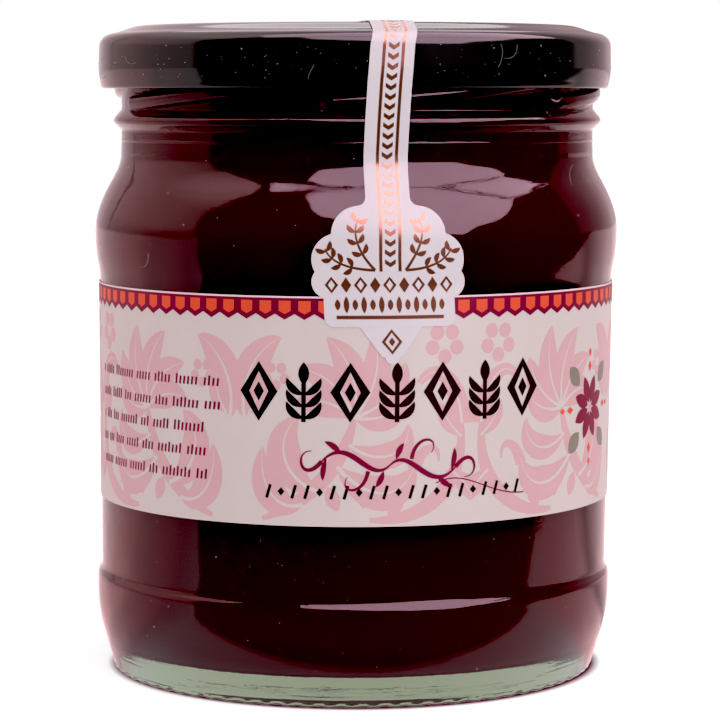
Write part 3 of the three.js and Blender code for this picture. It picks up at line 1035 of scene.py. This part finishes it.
def dust_shape():
    """Specks that have settled on the glass and the lid's wall."""
    bm = bmesh.new()
    draw = random.Random(DUST_SEED)
    for face, heights, count in DUSTY:
        for _ in range(count):
            place = face(draw.uniform(-DUST_WIDE, DUST_WIDE), draw.uniform(*heights), 0.02)
            r = 0.03 + 0.1 * draw.random() ** 3
            turn = Matrix.Rotation(draw.uniform(0, math.tau), 4, draw.choice("XYZ"))
            size = Matrix.Diagonal((r, r * draw.uniform(0.5, 1), r * 0.6, 1))
            matrix = Matrix.Translation(place) @ turn @ size
            bmesh.ops.create_icosphere(bm, subdivisions=1, radius=1, matrix=matrix)
    return bm


def lint_print(face, heights, seed):
    """Short curled fibres."""
    lint = Print(face, 0.06)
    draw = random.Random(seed)
    low_z, high_z = heights
    for _ in range(FIBRES):
        x = draw.uniform(-LINT_WIDE, LINT_WIDE)
        z = draw.uniform(low_z + FIBRE_STEP, high_z - FIBRE_STEP)
        controls = [(x, z)]
        way = draw.uniform(0, math.tau)
        for _ in range(3):
            way += draw.uniform(0.3, 1.1)
            x += FIBRE_STEP * math.cos(way)
            z = min(max(z + FIBRE_STEP * math.sin(way), low_z), high_z)
            controls.append((x, z))
        lint.stroke(controls, even(FIBRE_HALF), columns=16, rows=1)
    return lint


# ---------------------------------------------------------------- finishes


def new_material(name, **values):
    """A material, and its Principled shader with plain values set on its own sockets."""
    made = bpy.data.materials.new(name)
    made.use_nodes = True
    shader = made.node_tree.nodes["Principled BSDF"]
    for socket, value in values.items():
        shader.inputs[socket.replace("_", " ")].default_value = value
    return made, shader


def add(tree, kind, inputs=None, **settings):
    """A node of a kind with settings, and inputs given as values or as sockets to link from."""
    node = tree.nodes.new(kind)
    for key, value in settings.items():
        setattr(node, key, value)
    for key, value in (inputs or {}).items():
        if isinstance(value, bpy.types.NodeSocket):
            tree.links.new(value, node.inputs[key])
        else:
            node.inputs[key].default_value = value
    return node


def mix(tree, factor, a, b):
    """A colour between two colours, each given as a value or as a socket."""
    node = add(tree, "ShaderNodeMix", {"Factor": factor}, data_type="RGBA")
    for key, colour in (("A", a), ("B", b)):
        socket = next(s for s in node.inputs if s.name == key and s.type == "RGBA")
        if isinstance(colour, bpy.types.NodeSocket):
            tree.links.new(colour, socket)
        else:
            socket.default_value = (*colour, 1)
    return next(s for s in node.outputs if s.type == "RGBA")


def new_group(name, inputs, outputs):
    """A shader node group with float inputs and outputs: the tree and its inner ends."""
    tree = bpy.data.node_groups.new(name, "ShaderNodeTree")
    for key, value in inputs.items():
        socket = tree.interface.new_socket(key, in_out="INPUT", socket_type="NodeSocketFloat")
        socket.default_value = value
    for key in outputs:
        tree.interface.new_socket(key, in_out="OUTPUT", socket_type="NodeSocketFloat")
    return tree, tree.nodes.new("NodeGroupInput").outputs, tree.nodes.new("NodeGroupOutput").inputs


def use_group(tree, group, **values):
    node = tree.nodes.new("ShaderNodeGroup")
    node.node_tree = group
    for key, value in values.items():
        node.inputs[key].default_value = value
    return node.outputs


def object_place(tree):
    return tree.nodes.new("ShaderNodeTexCoord").outputs["Object"]


def calc(tree, operation, a, b):
    """The result of an operation on two numbers, each given as a value or as a socket."""
    return add(tree, "ShaderNodeMath", {0: a, 1: b}, operation=operation).outputs[0]


def cloudy(tree, place, scale, detail):
    """Soft noise over a place."""
    inputs = {"Vector": place, "Scale": scale, "Detail": detail}
    return add(tree, "ShaderNodeTexNoise", inputs).outputs["Fac"]


def ramp_over(tree, value, low, high):
    """A mask that goes evenly from 0 to 1 as a value goes from low to high."""
    node = add(tree, "ShaderNodeMapRange", {"Value": value, "From Min": low, "From Max": high})
    return node.outputs["Result"]


def bump(tree, shader, height, distance):
    node = add(tree, "ShaderNodeBump", {"Height": height, "Distance": distance, "Strength": 1.0})
    tree.links.new(node.outputs["Normal"], shader.inputs["Normal"])


RIPPLE_STRETCH = (1, 1, 3)  # fine ripples are longer than high


def ripple_group():
    """Unevenness of a poured or lacquered skin: broad waves with a finer ripple on them."""
    tree, given, result = new_group("ripple", {"Broad": 90.0, "Fine": 700.0, "Share": 0.3}, ["Height"])
    place = object_place(tree)
    broad = cloudy(tree, place, given["Broad"], 1.0)
    flat = add(tree, "ShaderNodeVectorMath", {0: place, 1: RIPPLE_STRETCH}, operation="MULTIPLY")
    fine = cloudy(tree, flat.outputs["Vector"], given["Fine"], 2.0)
    total = calc(tree, "ADD", broad, calc(tree, "MULTIPLY", fine, given["Share"]))
    tree.links.new(total, result["Height"])
    return tree


def grain_group():
    """Short fibres and cloudiness of paper."""
    tree, given, result = new_group("paper grain", {"Scale": 900.0}, ["Height", "Cloud"])
    place = object_place(tree)
    tree.links.new(cloudy(tree, place, given["Scale"], 4.0), result["Height"])
    tree.links.new(cloudy(tree, place, 160.0, 3.0), result["Cloud"])
    return tree


def glass_finish(ripple):
    made, shader = new_material(
        "clear glass",
        Base_Color=(1, 1, 1, 1),
        Roughness=0.0,
        IOR=1.52,
        Transmission_Weight=1.0,
    )
    tree = made.node_tree
    height = use_group(tree, ripple, Broad=110.0, Fine=1000.0, Share=0.085)["Height"]
    bump(tree, shader, height, 0.00012)
    tint = add(tree, "ShaderNodeVolumeAbsorption", {"Color": (0.17, 0.27, 0.05, 1), "Density": 18.5})
    tree.links.new(tint.outputs[0], tree.nodes["Material Output"].inputs["Volume"])
    return made


def soup_finish():
    made, shader = new_material("beetroot soup", Roughness=0.35, IOR=1.34, Specular_IOR_Level=0.05)
    tree = made.node_tree
    cloud = cloudy(tree, object_place(tree), 60.0, 3.0)
    tone = mix(tree, cloud, (0.082, 0.02, 0.021), (0.092, 0.022, 0.023))
    tree.links.new(tone, shader.inputs["Base Color"])
    return made


def lacquer_finish(ripple):
    made, shader = new_material(
        "black lacquer",
        Base_Color=(0.0267, 0.0365, 0.0343, 1),
        Roughness=0.1,
        IOR=1.5,
    )
    tree = made.node_tree
    height = use_group(tree, ripple, Broad=60.0, Fine=700.0, Share=0.05)["Height"]
    bump(tree, shader, height, 0.00008)
    return made


def paper_finish(name, pale, dark, grain, roughness=0.45):
    """Paper, or ink on paper."""
    made, shader = new_material(name, Roughness=roughness, IOR=1.45)
    tree = made.node_tree
    out = use_group(tree, grain, Scale=900.0)
    tree.links.new(mix(tree, out["Cloud"], pale, dark), shader.inputs["Base Color"])
    bump(tree, shader, out["Height"], 0.00002)
    return made


def foil_finish(grain):
    made, shader = new_material(
        "copper foil",
        Base_Color=(0.37, 0.19, 0.13, 1),
        Metallic=0.8,
        Roughness=0.3,
    )
    tree = made.node_tree
    bump(tree, shader, use_group(tree, grain, Scale=700.0)["Height"], 0.00002)
    return made


# ---------------------------------------------------------------- studio


def emitter(name, radiance):
    made = bpy.data.materials.new(name)
    made.use_nodes = True
    tree = made.node_tree
    tree.nodes.clear()
    light = add(tree, "ShaderNodeEmission", {"Color": (*radiance, 1), "Strength": 1.0})
    out = tree.nodes.new("ShaderNodeOutputMaterial")
    tree.links.new(light.outputs[0], out.inputs["Surface"])
    return made


def direction(azimuth, elevation):
    """A unit vector, azimuth from the front to the right and elevation upwards, in degrees."""
    a, e = math.radians(azimuth), math.radians(elevation)
    return Vector((math.sin(a) * math.cos(e), -math.cos(a) * math.cos(e), math.sin(e)))


def stage_mesh(bm, name, finish):
    made = mesh_object(bm, name, finish)
    return made


# The lights hang in one slanting plane; corners are metres to the right and up from its middle.
LIGHT_AZIMUTH = 36
LIGHT_ELEVATION = 42
LIGHT_DISTANCE = 1.2
LIGHT_RISE = 0.06
SOFTBOX = (
    (-0.98, 0.66), (-0.84, 0.64), (-0.7, 0.59), (-0.545, 0.489), (0.084, 0.23), (0.41, 0.15),
    (0.67, 0.105), (0.9, 0.09), (0.807, -0.1), (0.71, -0.242), (0.577, -0.38), (0.421, -0.48),
    (0.264, -0.8), (-0.25, -0.78), (-0.87, -0.08), (-0.95, 0.03), (-1.04, 0.15), (-1.07, 0.3),
    (-1.0, 0.51),
)
CEILING = (
    (-1.45, 1.3), (-1.38, 1.14), (-1.27, 1.06), (-1.0, 0.86), (-0.84, 0.72), (-0.545, 0.55),
    (0.084, 0.26), (0.41, 0.18), (0.67, 0.135), (0.9, 0.12), (1.03, 0.19), (1.24, 0.29), (1.5, 0.44),
    (1.68, 0.51),
    (2.06, 0.65), (1.6, 2.0), (-1.0, 1.9),
)
WINDOW_TONE = (6.1, 4.1, 5.0)  # of the softbox and the ceiling
BACK_LIGHT = ((-0.33, -0.42), (0.33, -0.42), (0.42, 0.0), (0.36, 0.45), (-0.36, 0.45), (-0.42, 0.0))
BACK_LIGHT_TONE = (2.4, 2.1, 2.15)
BACK_LIGHT_AZIMUTH = 180
BACK_LIGHT_ELEVATION = 45
POLE = ((-0.012, -0.36), (0.012, -0.36), (0.02, 0.16), (0.05, 0.34), (-0.05, 0.36))
POLE_TONE = (0.5, 0.36, 0.38)
POLE_AZIMUTH = -137
POLE_ELEVATION = 13
BACK_DISTANCE = 1.5  # of the back light and the pole
# What gloss sees round the jar, by azimuth: the room level with it, the room on the left higher up
# in two steps, and the floor.
FRONT_LIGHT = (0.08, 0.06, 0.06)
ROOM_LEFT = (
    (-180, (0.9, 0.72, 0.75)),
    (-157, (0.99, 0.78, 0.83)),
    (-138, (0.79, 0.57, 0.6)),
    (-117, (0.92, 0.63, 0.63)),
    (-103, (0.74, 0.54, 0.55)),
    (-90, (0.58, 0.45, 0.45)),
    (-75, (0.5, 0.38, 0.38)),
    (-73.5, FRONT_LIGHT),
)
HIGH_LEFT = (
    (-180, (1.0, 0.8, 0.84)),
    (-157, (0.85, 0.6, 0.64)),
    (-138, (1.0, 0.7, 0.73)),
    (-125, (1.3, 0.82, 0.84)),
    (-110, (1.35, 0.9, 0.9)),
    (-93, (1.45, 1.0, 1.0)),
    (-76, (1.1, 0.85, 0.85)),
    (-74.5, FRONT_LIGHT),
)
HIGHEST_LEFT = (
    (-180, (1.4, 1.1, 1.15)),
    (-125, (1.9, 1.5, 1.55)),
    (-100, (2.8, 1.9, 1.95)),
    (-76, (2.8, 1.85, 1.9)),
    (-74.5, FRONT_LIGHT),
)
ROOM_RIGHT = (
    (113.8, FRONT_LIGHT),
    (114.8, (0.5, 0.37, 0.39)),
    (122, (0.5, 0.35, 0.37)),
    (131, (0.58, 0.4, 0.42)),
    (142, (0.8, 0.57, 0.6)),
    (156, (0.97, 0.73, 0.76)),
    (171, (0.75, 0.56, 0.6)),
    (174, (0.45, 0.34, 0.35)),
    (180, (0.45, 0.34, 0.35)),
)
# sines of the elevations at which the higher room begins and is full, and the highest
HIGH_FROM, HIGH_FULL = 0.03, 0.2
HIGHEST_FROM, HIGHEST_FULL = 0.5, 0.76
LEFT_LEAN = 15  # degrees that the edge of the room on the left leans to the front up there
FLOOR_ROUND_JAR = (
    (-180, (1.3, 1.0, 1.05)),
    (-135, (1.2, 0.85, 0.88)),
    (-121, (1.36, 0.85, 0.88)),
    (-108, (1.46, 0.88, 0.9)),
    (-97, (1.09, 0.78, 0.82)),
    (-84, (1.15, 0.78, 0.82)),
    (-74, (0.85, 0.72, 0.76)),
    (-60, (0.95, 1.0, 1.05)),
    (0, (0.9, 0.85, 0.9)),
    (70, (1.2, 1.15, 1.2)),
    (85, (1.5, 0.95, 1.0)),
    (110, (1.35, 0.9, 0.95)),
    (117, (0.65, 0.5, 0.52)),
    (130, (1.15, 0.82, 0.86)),
    (143, (1.35, 0.98, 1.03)),
    (180, (1.2, 0.95, 1.0)),
)
DARK_TOP = 0.961  # sine of the elevation past which all is dark
DARK_TOP_BLUR = 0.005
# the floor is dark in front of both the first two lines, or of the third: a point on each, and
# the azimuth that its dark side faces
FLOOR_EDGES = ((-0.1, -0.058, 17), (0.0, -0.0492, 4), (0.19, -0.034, 35.5))
FLOOR_BLUR = 0.0015
FLOOR_HALF = 3
AMBIENT = (0.62, 0.60, 0.61)
KEY_POWER = 7.0
KEY_SIZE = 1.9
FLOOR_TONE = (0.6, 0.6, 0.6)
FLOOR_GLOW = (0.72, 0.72, 0.72)
FOOT_SHADOW = (0.09, 0.03, 0.04)
FOOT_SHADOW_R = (0.0403, 0.042)  # where the shadow at the foot starts to fade, and is gone
BLACK_POINT = (0.034, 0.044, 0.042)  # light that a contrasty picture takes as black


def flat_light(name, corners, azimuth, elevation, distance, radiance):
    """A flat light, or a dark thing, that only reflections see."""
    bm = bmesh.new()
    bm.faces.new([bm.verts.new((x, y, 0)) for x, y in corners])
    towards = direction(azimuth, elevation)
    turn = towards.to_track_quat("Z", "Y").to_matrix().to_4x4()
    place = Matrix.Translation(towards * distance + Vector((0, 0, LIGHT_RISE)))
    bmesh.ops.transform(bm, verts=bm.verts, matrix=place @ turn)
    made = stage_mesh(bm, name, emitter(name + " light", radiance))
    made.visible_camera = False
    made.visible_diffuse = False
    made.visible_transmission = False
    made.visible_shadow = False


def lights():
    window = (LIGHT_AZIMUTH, LIGHT_ELEVATION, LIGHT_DISTANCE)
    flat_light("softbox", SOFTBOX, *window, WINDOW_TONE)
    flat_light("ceiling", CEILING, *window, WINDOW_TONE)
    behind = (BACK_LIGHT_AZIMUTH, BACK_LIGHT_ELEVATION, BACK_DISTANCE)
    flat_light("back light", BACK_LIGHT, *behind, BACK_LIGHT_TONE)
    flat_light("pole", POLE, POLE_AZIMUTH, POLE_ELEVATION, BACK_DISTANCE, POLE_TONE)


def key_light():
    """What the softbox gives to dull faces such as the paper."""
    data = bpy.data.lights.new("key", "AREA")
    data.shape = "DISK"
    data.size = KEY_SIZE
    data.energy = KEY_POWER
    made = new_object("key", data)
    towards = direction(LIGHT_AZIMUTH, LIGHT_ELEVATION)
    made.location = towards * LIGHT_DISTANCE
    made.rotation_euler = towards.to_track_quat("Z", "Y").to_euler()
    made.visible_glossy = False
    made.visible_camera = False


def past_line(tree, place, x, y, azimuth):
    """How far a place lies past a line through a point, the way that an azimuth faces."""
    from_line = add(tree, "ShaderNodeVectorMath", {0: place, 1: (x, y, 0)}, operation="SUBTRACT")
    both = {0: from_line.outputs["Vector"], 1: direction(azimuth, 0)}
    return add(tree, "ShaderNodeVectorMath", both, operation="DOT_PRODUCT").outputs["Value"]


def floor():
    """White to the eye, with a contact shadow; gloss sees it lit round the jar and dark in front."""
    bm = bmesh.new()
    bmesh.ops.create_grid(bm, x_segments=1, y_segments=1, size=FLOOR_HALF)
    dull = {"Roughness": 1.0, "Specular_IOR_Level": 0.0, "Emission_Strength": 1.0}
    made, shader = new_material("pale floor", **dull)
    tree = made.node_tree
    place = object_place(tree)
    first, second, third = [past_line(tree, place, *edge) for edge in FLOOR_EDGES]
    front = calc(tree, "MAXIMUM", calc(tree, "MINIMUM", first, second), third)
    dark = ramp_over(tree, front, -FLOOR_BLUR, FLOOR_BLUR)
    lit = round_jar(tree, place, FLOOR_ROUND_JAR)
    path = tree.nodes.new("ShaderNodeLightPath").outputs
    spread = add(tree, "ShaderNodeVectorMath", {0: place}, operation="LENGTH").outputs["Value"]
    clear = ramp_over(tree, spread, *FOOT_SHADOW_R)
    seen = mix(tree, path["Is Camera Ray"], FLOOR_GLOW, mix(tree, clear, FOOT_SHADOW, FLOOR_GLOW))
    tone = mix(tree, path["Is Camera Ray"], FLOOR_TONE, mix(tree, clear, FOOT_SHADOW, FLOOR_TONE))
    glow = mix(tree, path["Is Glossy Ray"], seen, mix(tree, dark, lit, FRONT_LIGHT))
    tree.links.new(glow, shader.inputs["Emission Color"])
    tree.links.new(mix(tree, path["Is Glossy Ray"], tone, (0, 0, 0)), shader.inputs["Base Color"])
    stage_mesh(bm, "floor", made)


def round_jar(tree, way, tones, lean=0.0):
    """A colour by the azimuth of a direction or of a place on the floor, less a lean in radians."""
    apart = add(tree, "ShaderNodeSeparateXYZ", {"Vector": way}).outputs
    azimuth = calc(tree, "ARCTAN2", apart["X"], calc(tree, "MULTIPLY", apart["Y"], -1.0))
    leaning = calc(tree, "SUBTRACT", azimuth, lean)
    ramp = add(tree, "ShaderNodeValToRGB", {"Fac": ramp_over(tree, leaning, -math.pi, math.pi)})
    stops = ramp.color_ramp.elements
    for i, (angle, radiance) in enumerate(tones):
        stop = stops[i] if i < 2 else stops.new(1.0)
        stop.position = (angle + 180) / 360
        stop.color = (*radiance, 1)
    return ramp.outputs["Color"]


def room_light(tree, way):
    """What gloss sees in a direction."""
    apart = add(tree, "ShaderNodeSeparateXYZ", {"Vector": way}).outputs
    rise = apart["Z"]
    up_there = ramp_over(tree, rise, HIGHEST_FROM, HIGHEST_FULL)
    on_left = calc(tree, "LESS_THAN", apart["X"], 0.0)
    share = calc(tree, "MULTIPLY", up_there, on_left)
    lean = calc(tree, "MULTIPLY", share, math.radians(LEFT_LEAN))
    level = round_jar(tree, way, ROOM_LEFT + ROOM_RIGHT)
    higher = round_jar(tree, way, HIGH_LEFT + ROOM_RIGHT, lean)
    highest = round_jar(tree, way, HIGHEST_LEFT + ROOM_RIGHT, lean)
    room = mix(tree, ramp_over(tree, rise, HIGH_FROM, HIGH_FULL), level, higher)
    room = mix(tree, up_there, room, highest)
    overhead = ramp_over(tree, rise, DARK_TOP - DARK_TOP_BLUR, DARK_TOP + DARK_TOP_BLUR)
    return mix(tree, overhead, room, FRONT_LIGHT)


def surroundings():
    """White to the eye, an even light to paper, and a bright room with a dark front to gloss."""
    world = bpy.data.worlds.new("studio")
    world.use_nodes = True
    tree = world.node_tree
    tree.nodes.clear()
    way = tree.nodes.new("ShaderNodeTexCoord").outputs["Generated"]
    path = tree.nodes.new("ShaderNodeLightPath")
    seen = mix(tree, path.outputs["Is Glossy Ray"], AMBIENT, room_light(tree, way))
    for ray in ("Is Transmission Ray", "Is Camera Ray"):
        seen = mix(tree, path.outputs[ray], seen, (1, 1, 1))
    light = add(tree, "ShaderNodeBackground", {"Color": seen, "Strength": 1.0})
    out = tree.nodes.new("ShaderNodeOutputWorld")
    tree.links.new(light.outputs[0], out.inputs["Surface"])
    bpy.context.scene.world = world


CAMERA_PLACE = (0.00101, -0.4837, 0.09695)
CAMERA_TILT = 84.59  # from straight down
CAMERA_LENS = 143.55
CAMERA_SENSOR = 36


def camera():
    data = bpy.data.cameras.new("camera")
    data.lens = CAMERA_LENS
    data.sensor_width = CAMERA_SENSOR
    made = new_object("camera", data)
    made.location = CAMERA_PLACE
    made.rotation_euler = (math.radians(CAMERA_TILT), 0, 0)
    bpy.context.scene.camera = made


def picture_tones():
    view = bpy.context.scene.view_settings
    view.view_transform = "Standard"
    view.use_curve_mapping = True
    view.curve_mapping.black_level = BLACK_POINT


# ---------------------------------------------------------------- the whole

camera()
surroundings()
lights()
key_light()
floor()
picture_tones()

ripple = ripple_group()
grain = grain_group()
make_piece(jar_shape(), "glass_jar", glass_finish(ripple), "clear_glass", "jar")
make_piece(soup_shape(), "beetroot_soup", soup_finish(), "beet_soup", "borscht")
lacquer = lacquer_finish(ripple)
make_piece(lid_shape(), "lacquered_lid", lacquer, "black_lacquer", "lid", aside=LID_ASIDE)
label_paper = paper_finish("label paper", (0.62, 0.53, 0.52), (0.58, 0.49, 0.48), grain)
make_piece(label_shape(), "wrap_label", label_paper, "label_paper", "label", sharp=30)

inks = {
    "crimson": ((0.22, 0.012, 0.045), (0.19, 0.01, 0.04)),
    "orange": ((0.72, 0.095, 0.045), (0.66, 0.085, 0.04)),
    "pale pink": ((0.78, 0.6, 0.62), (0.74, 0.56, 0.58)),
    "pink": ((0.64, 0.385, 0.41), (0.59, 0.345, 0.37)),
    "black": ((0.0155, 0.0165, 0.0165), (0.014, 0.015, 0.015)),
    "leaf": ((0.24, 0.22, 0.18), (0.22, 0.2, 0.165)),
}
for name, (pale, dark) in inks.items():
    inks[name] = paper_finish(name + " ink", pale, dark, grain)
band, flags, edge = border_print()
band.finish("label_border", inks["crimson"])
flags.finish("label_pennants", inks["orange"])
edge.finish("label_edge_line", inks["pale pink"])
foliage, veins = foliage_print()
foliage.finish("label_foliage", inks["pink"])
veins.finish("label_foliage_veins", label_paper)
black_print().finish("label_motifs", inks["black"])
crimson_print().finish("label_flourish", inks["crimson"])
marks, leaves, petals = rosette_print()
marks.finish("label_rosette_marks", inks["orange"])
leaves.finish("label_rosette_leaves", inks["leaf"])
petals.finish("label_rosette_petals", inks["crimson"])

seal_paper = paper_finish("seal paper", (0.63, 0.565, 0.605), (0.59, 0.53, 0.57), grain)
seal_shape().finish("paper_seal", seal_paper, PAPER, slot="seal_paper", stands_for="seal")
foil = foil_finish(grain)
strip_print().finish("seal_strip_foil", foil)
badge_print().finish("seal_badge_foil", foil)

dust = paper_finish("dust", (0.7, 0.62, 0.62), (0.5, 0.42, 0.42), grain, roughness=0.9)
make_piece(dust_shape(), "dust_specks", dust)
lint_print(on_glass, UPPER_GLASS_Z, seed=3).finish("lint_on_glass", dust, thickness=0.03)
lint_print(on_lid_wall, LID_WALL_Z, seed=5).finish("lint_on_lid", dust, thickness=0.02)
